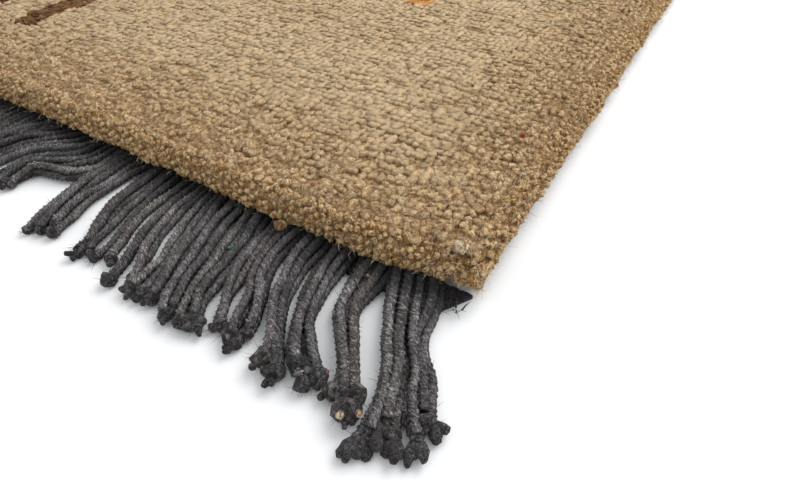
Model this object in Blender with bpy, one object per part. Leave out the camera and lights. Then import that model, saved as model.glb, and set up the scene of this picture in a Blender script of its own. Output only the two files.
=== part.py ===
"""A small hand-knotted wool rug with a thick cut pile and a knotted fringe, lying flat on the floor.

X runs across the rug, Y along it and Z up. The origin is on the floor under the middle of the rug.
The front end, at -Y, follows the bunches of fringe in the photo, and the far end is finished plainly.
"""
import math

import bmesh
import bpy
from mathutils import Matrix, Vector, noise

# Driving dimensions in metres
PILE_WIDTH = 0.620
PILE_LENGTH = 0.840
RUG_HEIGHT = 0.020
CLEARANCE = 0.0003
SEAM_GAP = 0.0006

# The pile overhangs its ground weave all round, and its ends draw back a little at the corners
OVERHANG = 0.0080
LIP_HEIGHT = 0.0046
CORNER_TRIM_ACROSS = 0.0040
CORNER_TRIM_ALONG = 0.0020
CORNER_RECESS = 0.008
CORNER_SPAN = 0.055

# Unevenness: how far each surface strays, the size of its lumps, and a number that sets its pattern
SIDE_WAVER, SIDE_LUMP, SIDE_PATTERN = 0.0012, 0.09, 1.7
END_WAVER, END_LUMP, END_PATTERN = 0.0024, 0.11, 5.1
TOP_WAVER, TOP_LUMP, TOP_PATTERN = 0.0007, 0.06, 9.3

# Cells of the pile's surface, of which the outermost take this share of half the rug
PILE_COLUMNS = 20
PILE_ROWS = 28
CORNER_CELL = 0.05

# The pile's side from its top edge down to the floor: inset from the outermost line, and height
PILE_SIDE = (
    (0.0130, RUG_HEIGHT - 0.0012),
    (0.0052, RUG_HEIGHT - 0.0024),
    (0.0014, 0.0140),
    (0.0000, 0.0095),
    (0.0012, 0.0056),
    (OVERHANG, LIP_HEIGHT),
    (OVERHANG, 0.0000),
)

# Flat-woven header at each end, with the warps left long as strands and knotted at their tips
HEADER_HEIGHT = 0.0036
HEADER_REACH = 0.0060
HEADER_TAPER = 0.0090
HEADER_SIDE_INSET = 0.0030
STRANDS_PER_END = 120
STRAND_WIDTH = 0.0037
STRAND_HEIGHT = 0.0039
STRAND_TOP_SHARE = 0.74
ROOT_LENGTH = 0.0035
KNOT_WIDTH = 0.0044
KNOT_HEIGHT = 0.0054
KNOT_LENGTH = 0.0060
NECK_BEFORE_KNOT = 0.0021
FULLEST_IN_KNOT = 0.0018
TIP_WIDTH = 0.0024
TIP_HEIGHT = 0.0028
TIP_PITCH = 0.0046
STAGGER = 0.0042
SWEEP_BEND = 0.2

# Overcast cord along each side, tucked under the overhanging pile
SELVAGE_WIDTH = 0.0048
SELVAGE_HEIGHT = 0.0042
SELVAGE_SIDES = 6
SELVAGE_STEPS = 21

# Bunches of the front fringe from the right corner to the left one: the number of strands, and in
# millimetres how far the tips lie to the right of the roots, how far the middle bulges to the
# right, and how far the tips lie from the header
BUNCH_COLUMNS = ("strands", "sweep", "belly", "reach")
FRONT_BUNCHES = (
    (5, 28, 1.5, 50),
    (3, 27, 2.0, 48),
    (3, 27, -2.0, 47),
    (3, 27, -2.0, 50),
    (3, 19, 0.5, 51),
    (6, 19, -2.0, 53),
    (4, 18, -2.0, 52),
    (2, 17, -1.0, 54),
    (4, 14, -1.0, 52),
    (4, 11, -1.0, 53),
    (4, -10, 1.0, 51),
    (5, -9, 0.0, 52),
    (6, -7, 0.0, 53),
    (6, -6, 0.5, 51),
    (5, -10, -0.5, 53),
    (6, -8, 0.0, 52),
    (5, -6, 0.5, 50),
    (6, -12, -0.5, 53),
    (6, -10, 0.0, 51),
    (5, -9, 0.0, 53),
    (6, -7, 0.0, 52),
    (5, -12, -0.5, 50),
    (6, -11, 0.0, 53),
    (6, -9, 0.0, 51),
    (6, -14, -0.5, 50),
)

# The hidden end is combed into even bunches, which fan out from one sweep to the other across the
# rug and take these reaches in turn, all in millimetres
BACK_BUNCH = 6
BACK_FAN = (28, -14)
BACK_REACHES = (52, 51, 54, 50)

MM = 0.001
SHARP_ANGLE = math.radians(50)


def clear_scene():
    for thing in list(bpy.data.objects):
        bpy.data.objects.remove(thing, do_unlink=True)


def wool(name, colour, roughness):
    material = bpy.data.materials.new(name)
    material.use_nodes = True
    surface = material.node_tree.nodes["Principled BSDF"]
    surface.inputs["Base Color"].default_value = (*colour, 1.0)
    surface.inputs["Roughness"].default_value = roughness
    surface.inputs["Metallic"].default_value = 0.0
    return material


def finish(bm, name, material):
    bmesh.ops.recalc_face_normals(bm, faces=bm.faces)
    mesh = bpy.data.meshes.new(name)
    bm.to_mesh(mesh)
    bm.free()
    mesh.materials.append(material)
    mesh.shade_smooth()
    mesh.set_sharp_from_angle(angle=SHARP_ANGLE)
    piece = bpy.data.objects.new(name, mesh)
    bpy.context.collection.objects.link(piece)
    return piece


def waver(x, y, size, pattern):
    """A smooth unevenness between about -1 and 1, whose lumps have the given size."""
    return noise.noise(Vector((x / size, y / size, pattern)))


def corner_recess(distance):
    """How far an end's edge draws back near a corner, at this distance from the rug's side."""
    share = min(distance / CORNER_SPAN, 1.0)
    return CORNER_RECESS * (1.0 - math.sin(share * math.pi / 2))


def outline_point(u, v, inset):
    """The point of the pile's outline at u across and v along the rug, both from -1 to 1."""
    side, end = math.copysign(1.0, u), math.copysign(1.0, v)
    side_waver = SIDE_WAVER * waver(side, v * PILE_LENGTH / 2, SIDE_LUMP, SIDE_PATTERN)
    end_waver = END_WAVER * waver(u * PILE_WIDTH / 2, end, END_LUMP, END_PATTERN)
    from_side = (1.0 - abs(u)) * PILE_WIDTH / 2
    x = u * (PILE_WIDTH / 2 + side_waver - inset)
    y = v * (PILE_LENGTH / 2 + end_waver - corner_recess(from_side) - inset)
    if abs(u) == 1.0 and abs(v) == 1.0:
        x -= side * CORNER_TRIM_ACROSS
        y -= end * CORNER_TRIM_ALONG
    return x, y


def stations(count):
    """Places from -1 to 1, with narrow outermost cells so that the corners turn tightly."""
    inner = [-1.0 + CORNER_CELL + (2.0 - 2.0 * CORNER_CELL) * i / (count - 2) for i in range(count - 1)]
    return [-1.0, *inner, 1.0]


def pile_body(material):
    """The ground weave with its knotted pile, as one slab with a lumpy top and full, soft sides."""
    across = stations(PILE_COLUMNS)
    along = stations(PILE_ROWS)
    edge_inset, edge_height = PILE_SIDE[0]
    bm = bmesh.new()
    place = bm.verts.layers.float_vector.new("place")
    bmesh.ops.create_grid(bm, x_segments=PILE_COLUMNS, y_segments=PILE_ROWS, size=1.0)
    for vert in bm.verts:
        u = across[round((vert.co.x + 1.0) / 2.0 * PILE_COLUMNS)]
        v = along[round((vert.co.y + 1.0) / 2.0 * PILE_ROWS)]
        vert[place] = Vector((u, v, 0.0))
        x, y = outline_point(u, v, edge_inset)
        level = edge_height if vert.is_boundary else RUG_HEIGHT - TOP_WAVER / 2
        vert.co = (x, y, level + TOP_WAVER / 2 * waver(x, y, TOP_LUMP, TOP_PATTERN))
    rim = [edge for edge in bm.edges if edge.is_boundary]
    for inset, height in PILE_SIDE[1:]:
        made = bmesh.ops.extrude_edge_only(bm, edges=rim)["geom"]
        rim = [part for part in made if isinstance(part, bmesh.types.BMEdge) and part.is_boundary]
        for vert in {vert for edge in rim for vert in edge.verts}:
            u, v, _ = vert[place]
            vert.co = (*outline_point(u, v, inset), height)
    bmesh.ops.contextual_create(bm, geom=rim)
    bm.verts.layers.float_vector.remove(place)
    return finish(bm, "pile", material)


def strand_lays(bunches):
    """Where each strand starts and how it lies, in metres, as one dictionary for each strand."""
    half_width = PILE_WIDTH / 2 - HEADER_SIDE_INSET - HEADER_TAPER
    pitch = 2 * half_width / STRANDS_PER_END
    lays = []
    for row in bunches:
        bunch = dict(zip(BUNCH_COLUMNS, row))
        middle = len(lays) + (bunch["strands"] - 1) / 2
        for number in range(len(lays), len(lays) + bunch["strands"]):
            lays.append({
                "root": half_width - (number + 0.5) * pitch,
                "gather": (number - middle) * (pitch - TIP_PITCH),
                "sweep": bunch["sweep"] * MM,
                "belly": bunch["belly"] * MM,
                "bunch_reach": bunch["reach"] * MM + STAGGER,
                "reach": bunch["reach"] * MM + (STAGGER if number % 2 else -STAGGER),
            })
    return lays


def strand_rings(lay, mid_rings):
    """One strand's cross-sections from the root outward: distance out, middle, width and height."""
    knot = lay["reach"] - KNOT_LENGTH
    neck = knot - NECK_BEFORE_KNOT
    stops = [(ROOT_LENGTH, STRAND_WIDTH, STRAND_HEIGHT)]
    for number in range(mid_rings):
        middle_out = lay["bunch_reach"] * (number + 1) / (mid_rings + 1)
        stops.append((middle_out, STRAND_WIDTH, STRAND_HEIGHT))
    stops.append((neck, STRAND_WIDTH, STRAND_HEIGHT))
    stops.append((knot + FULLEST_IN_KNOT, KNOT_WIDTH, KNOT_HEIGHT))
    stops.append((lay["reach"], TIP_WIDTH, TIP_HEIGHT))
    for out, width, height in stops:
        share = out / lay["bunch_reach"]
        swept = share * (1.0 - SWEEP_BEND + SWEEP_BEND * share)
        bulged = 4.0 * share * (1.0 - share)
        middle = lay["root"] + lay["gather"] * share + lay["sweep"] * swept + lay["belly"] * bulged
        yield out, middle, width, height


def weave_line(end):
    """The ground weave's edge at the front (-1) or the back (1), as seen from the front."""
    points = [outline_point(u, end, OVERHANG) for u in stations(PILE_COLUMNS)[1:-1]]
    if end > 0:
        points = [(-x, -y) for x, y in reversed(points)]
    return points


def line_height(points, x):
    """The line's Y at x, level beyond the first and last of its points."""
    x = min(max(x, points[0][0]), points[-1][0])
    for (x0, y0), (x1, y1) in zip(points, points[1:]):
        if x <= x1:
            return y0 + (y1 - y0) * (x - x0) / (x1 - x0)
    return points[-1][1]


def header_with_fringe(lays, mid_rings, end):
    """A flat-woven header strip with its strands grown out of its outer face, resting on the floor."""
    outer_y = -PILE_LENGTH / 2 - HEADER_REACH
    inner_half = PILE_WIDTH / 2 - HEADER_SIDE_INSET
    outer_half = inner_half - HEADER_TAPER
    edge = weave_line(end)
    bm = bmesh.new()
    bmesh.ops.create_grid(bm, x_segments=len(lays), y_segments=1, size=1.0)
    for vert in bm.verts:
        if vert.co.y < 0.0:
            vert.co = (vert.co.x * outer_half, outer_y, HEADER_HEIGHT)
        else:
            x = vert.co.x * inner_half
            vert.co = (x, line_height(edge, x) - SEAM_GAP, HEADER_HEIGHT)
    sole = bmesh.ops.extrude_face_region(bm, geom=list(bm.faces))["geom"]
    for part in sole:
        if isinstance(part, bmesh.types.BMVert):
            part.co.z = 0.0
    roots = [face for face in bm.faces
             if all(abs(vert.co.y - outer_y) < CLEARANCE for vert in face.verts)]
    roots.sort(key=lambda face: -face.calc_center_median().x)
    for face, lay in zip(roots, lays):
        for out, middle, width, height in strand_rings(lay, mid_rings):
            centre = face.calc_center_median()
            corners = [(vert.co.x > centre.x, vert.co.z > centre.z) for vert in face.verts]
            face = bmesh.ops.extrude_discrete_faces(bm, faces=[face])["faces"][0]
            for vert, (right, top) in zip(face.verts, corners):
                half = width / 2 * (STRAND_TOP_SHARE if top else 1.0)
                vert.co = (middle + (half if right else -half), outer_y - out, height if top else 0.0)
    return bm


def front_fringe(material):
    """The end that shows, with its bunches swept to one side."""
    bm = header_with_fringe(strand_lays(FRONT_BUNCHES), 1, -1)
    return finish(bm, "fringe_front", material)


def back_fringe(material):
    """The far end, the same header turned round, with its bunches combed into an even fan."""
    count = STRANDS_PER_END // BACK_BUNCH
    bunches = []
    for number in range(count):
        sweep = BACK_FAN[0] + (BACK_FAN[1] - BACK_FAN[0]) * number / (count - 1)
        bunches.append((BACK_BUNCH, sweep, 0.0, BACK_REACHES[number % len(BACK_REACHES)]))
    bm = header_with_fringe(strand_lays(bunches), 0, 1)
    bmesh.ops.rotate(bm, cent=(0, 0, 0), matrix=Matrix.Rotation(math.pi, 3, "Z"), verts=bm.verts)
    return finish(bm, "fringe_back", material)


def selvage(name, side, material):
    """The overcast cord along one side, which follows the ground weave's edge under the pile."""
    half_length = PILE_LENGTH / 2 - CORNER_RECESS - OVERHANG
    inset = OVERHANG - SEAM_GAP - SELVAGE_WIDTH / 2
    bm = bmesh.new()
    bmesh.ops.create_cone(bm, cap_ends=True, segments=SELVAGE_SIDES, radius1=0.5, radius2=0.5, depth=2.0)
    runs = [edge for edge in bm.edges if abs(edge.verts[0].co.z - edge.verts[1].co.z) > 1.0]
    bmesh.ops.subdivide_edges(bm, edges=runs, cuts=SELVAGE_STEPS - 1)
    for vert in bm.verts:
        middle = outline_point(side, vert.co.z * half_length / (PILE_LENGTH / 2), inset)[0]
        vert.co = (
            middle + vert.co.x * SELVAGE_WIDTH,
            vert.co.z * half_length,
            (vert.co.y + 0.5) * SELVAGE_HEIGHT,
        )
    return finish(bm, name, material)


clear_scene()
undyed_wool = wool("tan_wool_pile", (0.40, 0.28, 0.16), 0.95)
charcoal_wool = wool("charcoal_wool_yarn", (0.045, 0.043, 0.046), 0.9)
pile_body(undyed_wool)
front_fringe(charcoal_wool)
back_fringe(charcoal_wool)
selvage("selvage_left", -1, charcoal_wool)
selvage("selvage_right", 1, charcoal_wool)
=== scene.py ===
"""Looks of a small hand-knotted wool rug: its tufts, flat-woven ends, twisted fringe and side cords."""

import math

import bmesh
import bpy
import numpy as np
from mathutils import Matrix, Vector, noise


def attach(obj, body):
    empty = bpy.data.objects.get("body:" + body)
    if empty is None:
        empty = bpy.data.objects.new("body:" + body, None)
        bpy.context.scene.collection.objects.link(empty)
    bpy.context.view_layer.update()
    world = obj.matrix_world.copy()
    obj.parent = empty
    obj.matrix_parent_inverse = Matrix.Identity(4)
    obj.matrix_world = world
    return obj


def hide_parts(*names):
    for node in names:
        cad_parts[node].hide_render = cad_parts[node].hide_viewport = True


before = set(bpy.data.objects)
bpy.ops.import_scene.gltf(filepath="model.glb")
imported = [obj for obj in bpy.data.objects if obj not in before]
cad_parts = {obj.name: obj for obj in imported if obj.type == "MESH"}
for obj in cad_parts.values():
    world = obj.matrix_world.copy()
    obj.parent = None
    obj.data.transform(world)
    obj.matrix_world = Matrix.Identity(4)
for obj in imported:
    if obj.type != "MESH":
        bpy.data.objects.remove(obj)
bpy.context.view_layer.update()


# Ground weave: the closely woven base that every tuft is knotted on, of charcoal wool warps along the
# rug with wefts packed down between the rows of knots. The knots show as tan bumps on its underside.
PILE_WIDTH = 0.620
PILE_LENGTH = 0.840
HALF_WIDTH = PILE_WIDTH / 2
HALF_LENGTH = PILE_LENGTH / 2
RUG_HEIGHT = 0.020
OVERHANG = 0.0080
ROW_PITCH = 0.0040
KNOT_PITCH = 0.0040
WEAVE_THICKNESS = 0.0036
SIDE_WAVER, SIDE_LUMP, SIDE_PATTERN = 0.0012, 0.09, 1.7
END_WAVER, END_LUMP, END_PATTERN = 0.0024, 0.11, 5.1
TOP_WAVER, TOP_LUMP, TOP_PATTERN = 0.0007, 0.06, 9.3
CORNER_RECESS = 0.008
CORNER_SPAN = 0.055

# Both sources of random numbers have a fixed seed, so that every run makes the same rug
scatter = np.random.default_rng(27)
noise.seed_set(3)


def wander(x, y, z):
    """A smooth random value between about -1 and 1."""
    return noise.noise(Vector((x, y, z)))


def waver(x, y, size, pattern):
    """A slow unevenness over the rug, the same as in the solids."""
    return wander(x / size, y / size, pattern)


def outline_point(u, v, inset):
    """The point of the pile's outline at u across and v along the rug, both from -1 to 1."""
    side = math.copysign(1.0, u)
    end = math.copysign(1.0, v)
    side_waver = SIDE_WAVER * waver(side, v * HALF_LENGTH, SIDE_LUMP, SIDE_PATTERN)
    end_waver = END_WAVER * waver(u * HALF_WIDTH, end, END_LUMP, END_PATTERN)
    from_side = min((1.0 - abs(u)) * HALF_WIDTH / CORNER_SPAN, 1.0)
    recess = CORNER_RECESS * (1.0 - math.sin(from_side * math.pi / 2))
    x = u * (HALF_WIDTH + side_waver - inset)
    y = v * (HALF_LENGTH + end_waver - recess - inset)
    return x, y


def linear(hex_colour):
    """An sRGB hex colour as linear red, green, blue and alpha."""
    parts = [int(hex_colour[i:i + 2], 16) / 255 for i in (0, 2, 4)]
    return (*[p / 12.92 if p <= 0.04045 else ((p + 0.055) / 1.055) ** 2.4 for p in parts], 1.0)


def add_node(material, kind, settings=None, inputs=None):
    """Adds a node with its settings, and sets or links each of its named inputs."""
    node = material.node_tree.nodes.new("ShaderNode" + kind)
    for name, value in (settings or {}).items():
        setattr(node, name, value)
    for name, value in (inputs or {}).items():
        if isinstance(value, bpy.types.NodeSocket):
            material.node_tree.links.new(value, node.inputs[name])
        else:
            node.inputs[name].default_value = value
    return node


def wool(name, roughness, sheen):
    """A new matt wool material, with its shader, ready for its colour and bump."""
    material = bpy.data.materials.new(name)
    material.use_nodes = True
    shader = material.node_tree.nodes["Principled BSDF"]
    shader.inputs["Roughness"].default_value = roughness
    shader.inputs["Specular IOR Level"].default_value = 0.14
    shader.inputs["Sheen Weight"].default_value = sheen
    shader.inputs["Sheen Roughness"].default_value = 0.6
    return material, shader


def ramp(material, factor, *stops):
    """The colours of a ramp over a factor, from (position, hex colour) stops in rising order."""
    node = add_node(material, "ValToRGB", inputs={"Fac": factor})
    elements = node.color_ramp.elements
    for element, (position, hex_colour) in zip(elements, (stops[0], stops[-1])):
        element.position = position
        element.color = linear(hex_colour)
    for position, hex_colour in stops[1:-1]:
        elements.new(position).color = linear(hex_colour)
    return node.outputs["Color"]


def finish_wool(material, shader, colour, height, strength, distance, invert=False):
    """Links a wool's colour to its shader, and a bump over a height."""
    lift = add_node(material, "Bump", {"invert": invert}, {
        "Height": height, "Strength": strength, "Distance": distance})
    material.node_tree.links.new(colour, shader.inputs["Base Color"])
    material.node_tree.links.new(lift.outputs["Normal"], shader.inputs["Normal"])


def place_piece(obj, slot, *nodes):
    """Puts a finished piece in the scene, on the rug, for the solids it stands for."""
    bpy.context.collection.objects.link(obj)
    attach(obj, "root")
    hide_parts(*nodes)
    return obj


def outward_mesh(bm, name):
    """The finished mesh of a shape, its faces outward."""
    bmesh.ops.recalc_face_normals(bm, faces=bm.faces)
    mesh = bpy.data.meshes.new(name)
    bm.to_mesh(mesh)
    bm.free()
    return mesh


def woven_base():
    """A thin slab of cloth under the pile, its edge as uneven as the pile's own."""
    bm = bmesh.new()
    bmesh.ops.create_grid(bm, x_segments=32, y_segments=44, size=1.0)
    for vert in bm.verts:
        x, y = outline_point(vert.co.x, vert.co.y, OVERHANG)
        vert.co = (x, y, WEAVE_THICKNESS)
    bmesh.ops.solidify(bm, geom=list(bm.faces), thickness=WEAVE_THICKNESS)
    return outward_mesh(bm, "ground_weave")


# Handwoven wool: warps and wefts hide each other in turn, and each knot crosses two warps as a tan bump
weave_wool, shader = wool("handwoven_wool_ground", 0.92, 0.1)
place = add_node(weave_wool, "TexCoord").outputs["Object"]
knots = add_node(weave_wool, "Mapping", inputs={
    "Vector": place, "Scale": (1 / KNOT_PITCH, 1 / ROW_PITCH, 1.0)})
bumps = add_node(weave_wool, "TexVoronoi", {"feature": "SMOOTH_F1"}, {
    "Vector": knots.outputs["Vector"], "Scale": 1.0, "Randomness": 0.25, "Smoothness": 0.4})
from_knot = bumps.outputs["Distance"]
weave_colour = ramp(weave_wool, from_knot, (0.0, "9A8463"), (0.62, "2E2B2A"))
finish_wool(weave_wool, shader, weave_colour, from_knot, 0.7, 0.0012, invert=True)

ground_weave = bpy.data.objects.new("ground_weave", woven_base())
ground_weave.data.materials.append(weave_wool)
place_piece(ground_weave, "tan_wool_pile", "pile")


# Tufts: the cut ends of the knots, in rows across the rug. Each is a thick two-ply wool end, sheared
# level and fluffed into a soft lump of about 4 mm that leans on its neighbours.
TUFTS_ACROSS = 149
TUFT_ROWS = 202
FIELD_INSET = 0.0062
TUFT_KINDS = 18
TUFT_RADIUS = 0.00228
TUFT_STRIPS = 4
CRACK_LENGTH = 0.011
FLOOR_GAP = 0.0001
# How far in from the rug's edge the tufts are looser, the pile is rounded off and the tufts fan out
LOOSE_RIM = 0.08
ROUNDED_RIM = 0.022
FANNED_RIM = 0.020


def shape_arrays(bm):
    """A small shape's points and triangles as arrays."""
    bmesh.ops.triangulate(bm, faces=bm.faces)
    bmesh.ops.recalc_face_normals(bm, faces=bm.faces)
    bm.verts.index_update()
    points = np.array([vert.co for vert in bm.verts])
    triangles = np.array([[vert.index for vert in face.verts] for face in bm.faces])
    bm.free()
    return points, triangles


def tuft_shape(kind):
    """One tuft's end, two units wide: a ball with its foot drawn out, its top cut lower, and uneven."""
    bm = bmesh.new()
    bmesh.ops.create_icosphere(bm, subdivisions=1, radius=1.0)
    bm.verts.ensure_lookup_table()
    foot = min(bm.verts, key=lambda vert: vert.co.z)
    bmesh.ops.dissolve_verts(bm, verts=[foot])
    for vert in bm.verts:
        wobble = noise.noise_vector(vert.co * 1.3 + Vector((kind * 3.7, 0.0, 1.0)))
        two_ends = 0.45 * math.cos(2 * math.atan2(vert.co.y, vert.co.x))
        if vert.co.z < -0.1:
            vert.co = Vector((vert.co.x * 0.95, vert.co.y * 0.95, -1.35)) + wobble * 0.1
        elif vert.co.z < 0.7:
            vert.co = Vector((vert.co.x * 1.12, vert.co.y * 1.12, 0.22 + two_ends)) + wobble * 0.55
        else:
            top = 0.26 if kind % 3 else 0.60
            vert.co = Vector((wobble.x * 1.1, wobble.y * 1.1, top + wobble.z * 0.4))
    return shape_arrays(bm)


def turned_frames(lean, spin):
    """A 3 by 3 frame for each tuft: its own Z along lean, turned about it by spin."""
    up = lean / np.linalg.norm(lean, axis=1, keepdims=True)
    side = np.cross(np.array([0.31, 0.95, 0.05]), up)
    side /= np.linalg.norm(side, axis=1, keepdims=True)
    front = np.cross(up, side)
    c = np.cos(spin)[:, None]
    s = np.sin(spin)[:, None]
    return np.stack([side * c + front * s, front * c - side * s, up], axis=2)


def laid_copies(shape, frames, sizes, places):
    """Copies of one shape, each turned, sized along its three axes and placed."""
    points, triangles = shape
    laid = np.einsum("nij,nkj->nki", frames, points[None] * sizes[:, None, :]) + places[:, None, :]
    count = len(points) * np.arange(len(places))
    return laid.reshape(-1, 3), (triangles[None] + count[:, None, None]).reshape(-1, 3)


def joined_piece(name, parts, material):
    """One mesh from (points, triangles, colours, own places) parts, smooth all over."""
    points = np.concatenate([part[0] for part in parts])
    steps = np.cumsum([0] + [len(part[0]) for part in parts[:-1]])
    triangles = np.concatenate([part[1] + step for part, step in zip(parts, steps)])
    mesh = bpy.data.meshes.new(name)
    mesh.vertices.add(len(points))
    mesh.vertices.foreach_set("co", points.astype(np.float32).ravel())
    mesh.loops.add(len(triangles) * 3)
    mesh.loops.foreach_set("vertex_index", triangles.astype(np.int32).ravel())
    mesh.polygons.add(len(triangles))
    mesh.polygons.foreach_set("loop_start", np.arange(len(triangles), dtype=np.int32) * 3)
    mesh.update(calc_edges=True)
    mesh.shade_smooth()
    for layer_name, kind, field, index in (
            ("fibre_colour", "FLOAT_COLOR", "color", 2), ("fibre_place", "FLOAT_VECTOR", "vector", 3)):
        values = np.concatenate([part[index] for part in parts]).astype(np.float32)
        mesh.attributes.new(layer_name, kind, "POINT").data.foreach_set(field, values.ravel())
    mesh.materials.append(material)
    return bpy.data.objects.new(name, mesh)


def wander_at(points, size_x, size_y, pattern):
    """The wander at each point, with its lumps sized along both axes."""
    return np.array([wander(x / size_x, y / size_y, pattern) for x, y, _ in points])


def tan_wool(points):
    """The undyed wool's colour at each point: slow greyer and warmer clouds, and each tuft its own."""
    clouds = wander_at(points, 0.05, 0.03, 3.3)
    bands = wander_at(points, 0.4, 0.011, 8.1)
    tone = scatter.normal(0.0, 0.07, len(points)) + 0.09 * clouds + 0.05 * bands
    warm = scatter.normal(0.0, 0.012, len(points)) - 0.02 * clouds
    base = np.array(linear("ECCEA0"))[:3]
    colours = base[None] * (1.0 + tone)[:, None]
    colours[:, 0] *= 1.0 + warm
    colours[:, 2] *= 1.0 - 1.6 * warm
    return np.concatenate([np.clip(colours, 0.01, 1.0), np.ones((len(points), 1))], axis=1)


def inside_stroke(points, middle_x, middle_y, width, length, slant):
    """Which tufts belong to a short dyed stroke along the rug, with a slightly uneven edge."""
    rough = wander_at(points, 0.006, 0.006, 5.5)
    x = points[:, 0] - middle_x
    y = points[:, 1] - middle_y
    across = np.abs(x - slant * y) - width / 2 - 0.002 * rough
    along = np.abs(y + slant * x) - length / 2
    return (across < 0) & (along < 0)


# Short dyed strokes in the plain field: middle x, middle y, width, length, slant, colour
STROKES = (
    (-0.0597, -0.3010, 0.0210, 0.1270, -0.10, "6B4200"),
    (-0.1105, -0.2970, 0.0240, 0.1000, 0.0, "6B2E08"),
    (0.1550, -0.1600, 0.0200, 0.0700, 0.0, "C2853F"),
)

u = (np.arange(TUFTS_ACROSS) + 0.5) / TUFTS_ACROSS * 2 - 1
v = (np.arange(TUFT_ROWS) + 0.5) / TUFT_ROWS * 2 - 1
tips = []
leans = []
loose = []
for row, along in enumerate(v):
    for column, across in enumerate(u):
        x, y = outline_point(across, along, FIELD_INSET)
        to_edge = min(HALF_WIDTH - abs(x), HALF_LENGTH - abs(y))
        open_rim = min(max(1.0 - to_edge / LOOSE_RIM, 0.0), 1.0)
        crack, crack_behind = [
            min(max((wander(x / CRACK_LENGTH, line, 2.2) - 0.12) * 4, 0.0), 1.0)
            for line in (row * 1.7, row * 1.7 + 1.7)]
        opening = (0.0011 + 0.0009 * open_rim) * (crack - crack_behind)
        clump = noise.noise_vector(Vector((x / 0.013, y / 0.013, 6.0)))
        level = RUG_HEIGHT - 0.0006 + TOP_WAVER / 2 * waver(x, y, TOP_LUMP, TOP_PATTERN)
        group = wander(x / 0.0085, y / 0.0065, 3.0)
        level += (0.0004 + 0.0009 * open_rim) * min(group, 0.35) + (0.0002 + 0.0006 * open_rim) * clump.z
        level -= 0.0022 * max(0.0, 1.0 - to_edge / ROUNDED_RIM) ** 2 + 0.0005 * max(crack, crack_behind)
        tips.append((x + 0.0011 * clump.x, y + opening + 0.0011 * clump.y, level))
        loose.append(open_rim)
        spread = 0.9 * max(0.0, 1.0 - to_edge / FANNED_RIM)
        out_x = spread * math.copysign(1.0, x) * (HALF_WIDTH - abs(x) < FANNED_RIM)
        out_y = spread * math.copysign(1.0, y) * (HALF_LENGTH - abs(y) < FANNED_RIM)
        tangle = 0.12 + 0.38 * open_rim
        leans.append((out_x + tangle * clump.x, out_y + tangle * clump.y, 1.0))
tips = np.array(tips)
leans = np.array(leans)
count = len(tips)
tips[:, :2] += scatter.normal(0.0, 0.00035, (count, 2))
loose = np.array(loose)
tips[:, 2] += scatter.normal(0.0, 1.0, count) * (0.00010 + 0.00028 * loose)
leans[:, :2] += scatter.normal(0.0, 1.0, (count, 2)) * (0.05 + 0.19 * loose)[:, None]
radii = TUFT_RADIUS * scatter.uniform(0.82, 1.14, count) * (1.42 - 0.40 * loose)
tall = (0.0007 + 0.0009 * loose) * scatter.uniform(0.9, 1.2, count)
sizes = np.stack([radii * scatter.uniform(0.88, 1.18, count), radii, tall], axis=1)
centres = tips - np.array([0.0, 0.0, 1.0]) * sizes[:, 2:3] * 0.8
colours = tan_wool(tips)
colours[:, :3] = np.minimum(colours[:, :3] * (0.61 + 0.47 * loose)[:, None], 1.0)
colours[:, 3] = loose
for middle_x, middle_y, width, length, slant, dye in STROKES:
    dyed = inside_stroke(tips, middle_x, middle_y, width, length, slant)
    colours[dyed, :3] = np.array(linear(dye))[:3] * scatter.uniform(0.7, 1.3, (dyed.sum(), 1))
frames = turned_frames(leans, scatter.uniform(0.0, 2 * math.pi, count))
kinds = scatter.integers(0, TUFT_KINDS, count)
shapes = [tuft_shape(kind) for kind in range(TUFT_KINDS)]

# Cut-pile wool: matt and fuzzy, with curled fibres all over each tuft, strongest near the rug's rim.
# Real fibres are 0.04 mm thick and are drawn coarser, so that they still show
pile_wool, shader = wool("sheared_undyed_wool", 0.95, 0.08)
dye = add_node(pile_wool, "Attribute", {"attribute_name": "fibre_colour"})
own = add_node(pile_wool, "Attribute", {"attribute_name": "fibre_place"}).outputs["Vector"]
curls = add_node(pile_wool, "TexWave", inputs={
    "Vector": own, "Scale": 260.0, "Distortion": 16.0, "Detail": 4.0,
    "Detail Scale": 1.1, "Detail Roughness": 0.75})
fibres = add_node(pile_wool, "TexNoise", inputs={
    "Vector": own, "Scale": 1300.0, "Detail": 4.0, "Roughness": 0.75, "Distortion": 1.2})
streaks = add_node(pile_wool, "Mix", {"data_type": "FLOAT"}, {
    0: 0.68, 2: curls.outputs["Fac"], 3: fibres.outputs["Fac"]})
locks = add_node(pile_wool, "TexVoronoi", {"feature": "SMOOTH_F1"}, {
    "Vector": own, "Scale": 480.0, "Smoothness": 0.35, "Randomness": 1.0})
relief = add_node(pile_wool, "Math", {"operation": "MULTIPLY_ADD"}, {
    0: locks.outputs["Distance"], 1: -0.7, 2: streaks.outputs[0]})
openness = add_node(pile_wool, "MapRange", inputs={
    "Value": dye.outputs["Alpha"], "From Min": 0.0, "From Max": 1.0, "To Min": 0.20, "To Max": 1.0})
# The relief colours the wool: partly its own streaks of lighter and darker fibre, partly painted shade that
# makes the low parts between the locks darker and warmer, most toward the rim
tone = ramp(pile_wool, relief.outputs[0], (0.04, "A5824E"), (0.14, "EBE2D0"), (0.30, "FFFFFF"))
pile_colour = add_node(pile_wool, "Mix", {"data_type": "RGBA", "blend_type": "MULTIPLY"}, {
    0: openness.outputs["Result"], 6: dye.outputs["Color"], 7: tone})
depth = add_node(pile_wool, "Math", {"operation": "MULTIPLY"}, {
    0: relief.outputs[0], 1: openness.outputs["Result"]})
finish_wool(pile_wool, shader, pile_colour.outputs[2], depth.outputs[0], 0.9, 0.0018)


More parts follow.
